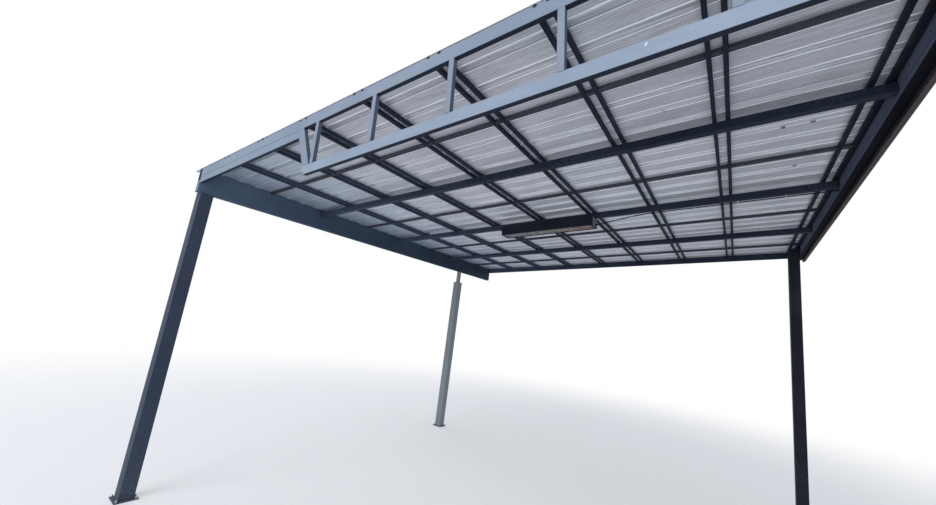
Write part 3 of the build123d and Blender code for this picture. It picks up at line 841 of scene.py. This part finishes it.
# %% [markdown]
# Where tubes meet they are welded by hand and painted over. A bead is a short tube of rings along
# the corner: its radius ripples once for each dab of the rod and rounds off at both ends.

# %% The shape of a weld bead
DAB = 0.0026
BEAD_RADIUS = 0.0028
BEAD_ROWS = 19
BEAD_SIDES = 6
JUST_OVER_ONE = 1.0001


def bead(start, end, out):
    """Rings along the lines from start to end. The radius is multiplied by one plus a tenth of a
    cosine of the length, and by the fourth root of one minus the fourth power of the distance
    from the middle. That one is a hair more, so that the ends don't close to a point."""
    along = end - start
    length = np.linalg.norm(along, axis=1, keepdims=True)
    along = along / length
    out = out / np.linalg.norm(out, axis=1, keepdims=True)
    side = np.cross(along, out)
    t = np.linspace(-1, 1, BEAD_ROWS)
    shrink = (JUST_OVER_ONE - t ** 4) ** 0.25
    ripple = 1 + 0.1 * np.cos(2 * np.pi * (t + 1) / 2 * length / DAB)
    size = (BEAD_RADIUS * shrink * ripple)[:, :, None, None]
    turn = np.linspace(0, 2 * np.pi, BEAD_SIDES, endpoint=False)[:, None]
    ring = np.cos(turn) * out[:, None, None] + np.sin(turn) * side[:, None, None]
    line = start[:, None] + (t[:, None] + 1) / 2 * (length * along)[:, None]
    return line[:, :, None] + size * ring


def corner_beads(middles, run, out, half):
    """Beads of the same direction, each from half before to half after its middle, in metres."""
    step = half * np.asarray(run, float)
    outs = np.tile(np.asarray(out, float) @ ROOF_AXES, (len(middles), 1))
    return bead(on_roof(middles - step), on_roof(middles + step), outs)


print("a bead of", BEAD_ROWS, "rings of", BEAD_SIDES, "corners")

# %% [markdown]
# The beads lie in three places: at both ends of each post of the truss, on three sides of the
# rafters' ends, and under the ends of the purlins. Each list below gives a place and the sign of
# the way out of the corner there.

# %% Weld the truss, the rafters and the purlins
TRUSS_MIDDLE = 0.0125
FIRST_WEB, WEB_PITCH, WEBS = 1.746, 0.515, 6
WEB_LINES = FIRST_WEB + WEB_PITCH * np.arange(WEBS)
WEB_HALF = 0.015
WEB_ENDS = ((-0.0757, -1), (-0.3505, 1))
RAFTER_LINES = (1.2125, 2.4125, 3.6125)
RAFTER_HALF = 0.025
RAFTER_MIDDLE, RAFTER_UNDERSIDE = -0.0505, -0.0757
RAFTER_ENDS = ((-0.0035, 1), (4.4195, -1))
PURLIN_ENDS = ((0.0252, 1), (4.7998, -1))
PURLIN_UNDERSIDE = -0.0255
WEB_BEAD, RAFTER_BEAD, PURLIN_BEAD = 0.0095, 0.022, 0.0085

beads = []
for sign in (-1, 1):
    for n, tilt in WEB_ENDS:
        spots = [(s + sign * WEB_HALF, TRUSS_MIDDLE, n) for s in WEB_LINES]
        beads.append(corner_beads(spots, (0, 1, 0), (sign, 0, tilt), WEB_BEAD))
for end, sign in RAFTER_ENDS:
    for side in (-1, 1):
        spots = [(end, y + side * RAFTER_HALF, RAFTER_MIDDLE) for y in RAFTER_LINES]
        beads.append(corner_beads(spots, (0, 0, 1), (sign, side, 0), RAFTER_BEAD))
    spots = [(end, y, RAFTER_UNDERSIDE) for y in RAFTER_LINES]
    beads.append(corner_beads(spots, (0, 1, 0), (sign, 0, -1), RAFTER_BEAD))
tube_lines = np.concatenate([PAIR_MIDDLES - TUBE_OFFSET, PAIR_MIDDLES + TUBE_OFFSET])
for y, sign in PURLIN_ENDS:
    spots = [(s, y, PURLIN_UNDERSIDE) for s in tube_lines]
    beads.append(corner_beads(spots, (1, 0, 0), (0, sign, -1), PURLIN_BEAD))
new_piece("weld_beads", np.concatenate(beads), frame_paint["x"])

# %% [markdown]
# The purlins' ends were also tacked to the top chord from outside, and these dabs were never
# painted well: they show as small dark lumps in pairs along the chord's upper edge. A lump is a
# low dome whose corners are pushed in and out a little by seeded random numbers.

# %% Tack the chord's upper edge
LUMP = [(0.0062, 0, 0), (0.0058, 0.0012, 0), (0.0042, 0.0025, 0), (0.0018, 0.0032, 0)]
LUMP_STRETCH = np.array([1.7, 1.0, 1.0])
LUMP_DENTS = 0.18
TACK_SUNK, TACK_LEVEL = 0.0002, -0.008
TACK_ASTRAY, TACK_UP_DOWN = 0.004, 0.002

random = np.random.default_rng(11)
tacks = len(tube_lines)
spots = np.column_stack([
    tube_lines + random.uniform(-TACK_ASTRAY, TACK_ASTRAY, tacks),
    np.full(tacks, TACK_SUNK),
    TACK_LEVEL + random.uniform(-TACK_UP_DOWN, TACK_UP_DOWN, tacks),
])
dome = turned(LUMP, 10)
jitter = 1 + random.uniform(-LUMP_DENTS, LUMP_DENTS, (tacks, *dome.shape[:2], 1))
lumps = dome[None] * jitter * LUMP_STRETCH
lumps = on_roof(spots)[:, None, None] + lumps @ np.stack([UP_SLOPE, OFF_SLOPE, -TO_REAR])
new_piece("chord_tacks", lumps, lamp_black)

# %% [markdown]
# Two kinds of dirt show near the high end. Spiders have nested on the sheets' underside beside the
# wall, and a drop of white paint has run on the lower chord. Both are lumps of the same kind.

# %% Leave the nests and the drop of paint
NEST = [(0.0140, 0, 0), (0.0105, 0.0012, 0), (0.0060, 0.0030, 0), (0.0022, 0.0044, 0)]
NEST_DENTS = 0.45
DROP = [(0.0025, 0, 0), (0.0023, 0.0003, 0), (0.0017, 0.0006, 0), (0.0008, 0.0008, 0)]
DROP_STRETCH = np.array([3.2, 1.0, 1.0])
DROP_SPOT = (3.570, 0.0001, -0.366)
DROP_RUN = math.radians(62)

nest_spots = on_roof([
    (4.173, 1.470, 0.0004), (4.042, 1.468, 0.0004), (4.172, 1.833, 0.0004), (4.150, 2.053, 0.0004),
])
dome = turned(NEST, 14)
jitter = 1 + random.uniform(-NEST_DENTS, NEST_DENTS, (len(nest_spots), *dome.shape[:2], 1))
nests = nest_spots[:, None, None] + (dome[None] * jitter) @ np.stack([TO_REAR, UP_SLOPE, -OFF_SLOPE])
new_piece("spider_nests", nests, dirt)

run_down = math.cos(DROP_RUN) * UP_SLOPE + math.sin(DROP_RUN) * OFF_SLOPE
drop_axes = np.stack([run_down, np.cross(-TO_REAR, run_down), -TO_REAR])
drop = set_down(turned(DROP, 14) * DROP_STRETCH, on_roof([DROP_SPOT]), drop_axes)
new_piece("paint_drop", drop, white_enamel)

# %% [markdown]
# A rubber gland grips the cable where it leaves the lamp and tapers along it, and a grommet lines
# the hole where it enters the wall beam. Both are rings along the cable's own direction there.

# %% Fit the gland and the grommet
GLAND = [
    (0.0095, 0, 0), (0.0095, 0.0040, 1), (0.0082, 0.0060, 1), (0.0078, 0.0060, 0),
    (0.0074, 0.0110, 0), (0.0068, 0.0112, 0), (0.0070, 0.0160, 0), (0.0064, 0.0162, 0),
    (0.0066, 0.0210, 0), (0.0060, 0.0212, 0), (0.0061, 0.0270, 0), (0.0055, 0.0272, 0),
    (0.0056, 0.0330, 0), (0.0050, 0.0360, 0), (0.0046, 0.0370, 0),
]
GROMMET = [
    (0.0095, 0, 0), (0.0100, 0.0012, 0), (0.0096, 0.0030, 0), (0.0078, 0.0046, 0),
    (0.0056, 0.0050, 0),
]
GLAND_SEAT = 0.0009


def axes_along(direction):
    """Three rows at right angles to each other, the last one along the given direction."""
    last = np.asarray(direction, float) / np.linalg.norm(direction)
    first = np.cross(TO_REAR, last)
    first /= np.linalg.norm(first)
    return np.stack([first, np.cross(last, first), last])


leaving = CABLE_POINTS[1] - CABLE_POINTS[0]
base = CABLE_POINTS[0] - GLAND_SEAT * leaving / np.linalg.norm(leaving)
new_piece("cable_gland", set_down(turned(GLAND), [base], axes_along(leaving)), cable_sheath)
new_piece(
    "cable_grommet", set_down(turned(GROMMET, 16), [CABLE_POINTS[-1]], axes_along(-UP_SLOPE)),
    cable_sheath,
)
print("gland", len(GLAND), "rings and grommet", len(GROMMET), "rings")

# %% [markdown]
# Each end cap of the lamp has four of the small screws, in its corners, and each saddle has one
# beside the cable. The same screw is set down along three directions.

# %% Drive the small screws
DOME_SCREW = [(0.0040, 0, 0), (0.0039, 0.0008, 0), (0.0032, 0.0018, 0), (0.0018, 0.0024, 0)]
LAMP_LOW_END, LAMP_HIGH_END = 1.697, 2.699
CAP_SCREW_LEVELS = (-0.1, -0.15)
CAP_SCREW_REACH = 0.052
FIRST_SADDLE, SADDLE_PITCH, SADDLES = 3.2355, 0.2976, 4
SADDLE_SCREW_LINE, SADDLE_SCREW_LEVEL = 2.4257, -0.0774

corners = [
    (RAFTER_LINES[1] + side * CAP_SCREW_REACH, n) for side in (-1, 1) for n in CAP_SCREW_LEVELS
]
saddle_spots = [
    (FIRST_SADDLE + SADDLE_PITCH * i, SADDLE_SCREW_LINE, SADDLE_SCREW_LEVEL) for i in range(SADDLES)
]
small_screws = np.concatenate([
    set_down(turned(DOME_SCREW), on_roof(spots), axes_along(way)) for spots, way in (
        ([(LAMP_HIGH_END, *corner) for corner in corners], UP_SLOPE),
        ([(LAMP_LOW_END, *corner) for corner in corners], -UP_SLOPE),
        (saddle_spots, -OFF_SLOPE),
    )
])
new_piece("small_screws", small_screws, zinc)
